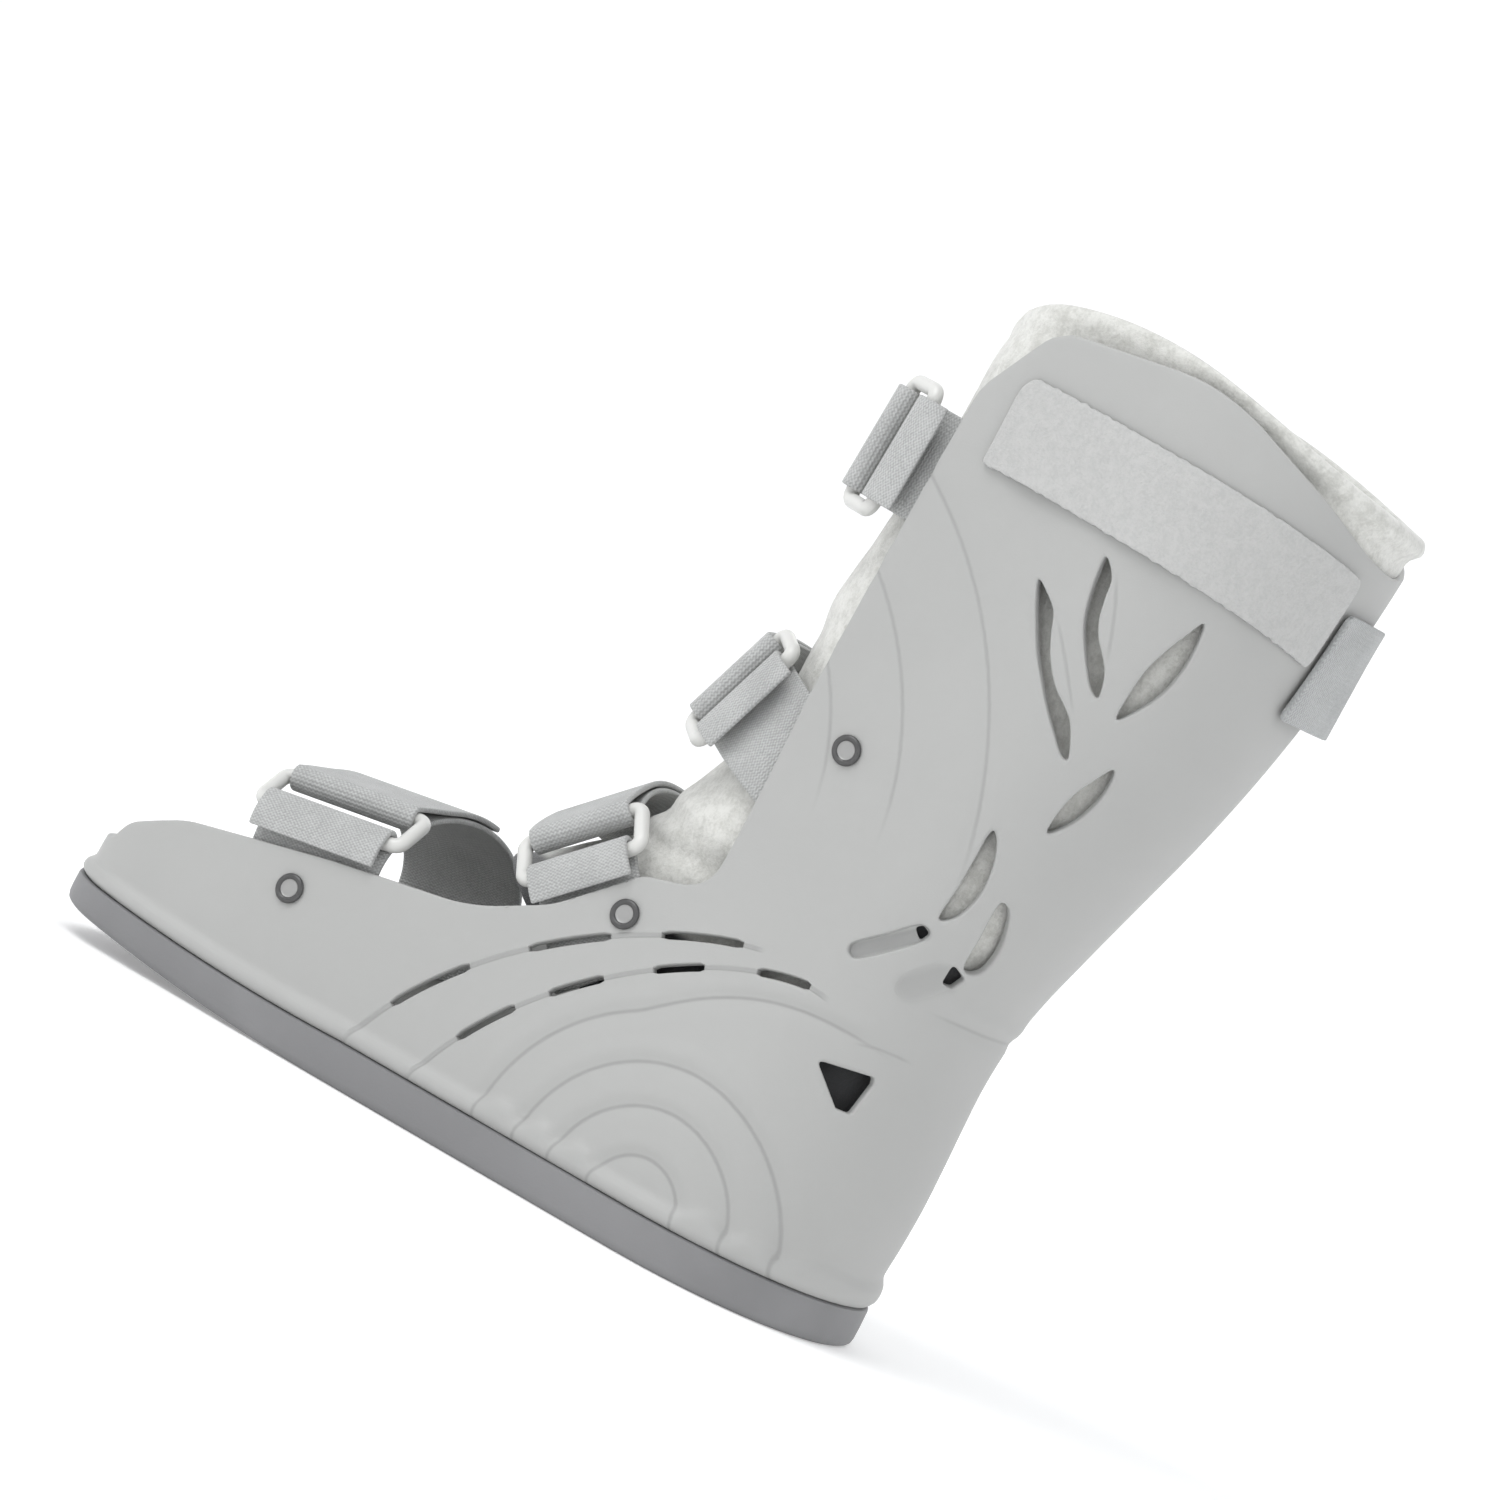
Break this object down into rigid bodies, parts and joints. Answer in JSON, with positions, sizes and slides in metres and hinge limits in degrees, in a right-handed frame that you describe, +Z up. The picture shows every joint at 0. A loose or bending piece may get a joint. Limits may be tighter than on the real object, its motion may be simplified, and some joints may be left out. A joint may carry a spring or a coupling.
{
  "type": "walker boot",
  "caption": "Open-toe walker boot: a moulded vented shell on a grooved rubber sole, with a fleece liner and straps through rings over foot and shin.",
  "frame": {"origin": "on the floor under the middle of the boot's box", "axes": "+Z up, toe toward -Y, heel toward +Y, the side of the rings toward +X"},
  "size_m": [0.1272, 0.3402, 0.317],
  "materials": {
    "shell plastic": "fine matt moulded texture",
    "sole rubber": "matt moulded rubber",
    "insole foam": "cloth-faced foam",
    "liner cloth": "brushed fleece over foam",
    "webbing": "brushed loop cloth",
    "ring plastic": "smooth moulded plastic",
    "rivet": "pressed metal, dished head",
    "loop tape": "fuzzy loop tape",
    "calf webbing": "woven band"
  },
  "bodies": {
    "root": {"outsole": "sole rubber", "insole": "insole foam", "shell": "shell plastic", "liner": "liner cloth", "tab_toe": "webbing", "strap_toe": "webbing", "ring_toe": "ring plastic", "tab_instep": "webbing", "strap_instep": "webbing", "ring_instep": "ring plastic", "tab_ankle": "webbing", "strap_ankle": "webbing", "ring_ankle": "ring plastic", "tab_shin": "webbing", "strap_shin": "webbing", "ring_shin": "ring plastic", "rivet_toe_left": "rivet", "rivet_toe_right": "rivet", "rivet_instep_left": "rivet", "rivet_instep_right": "rivet", "rivet_ankle_left": "rivet", "rivet_ankle_right": "rivet", "loop_patch": "loop tape", "calf_strap": "calf webbing"}
  },
  "joints": []
}
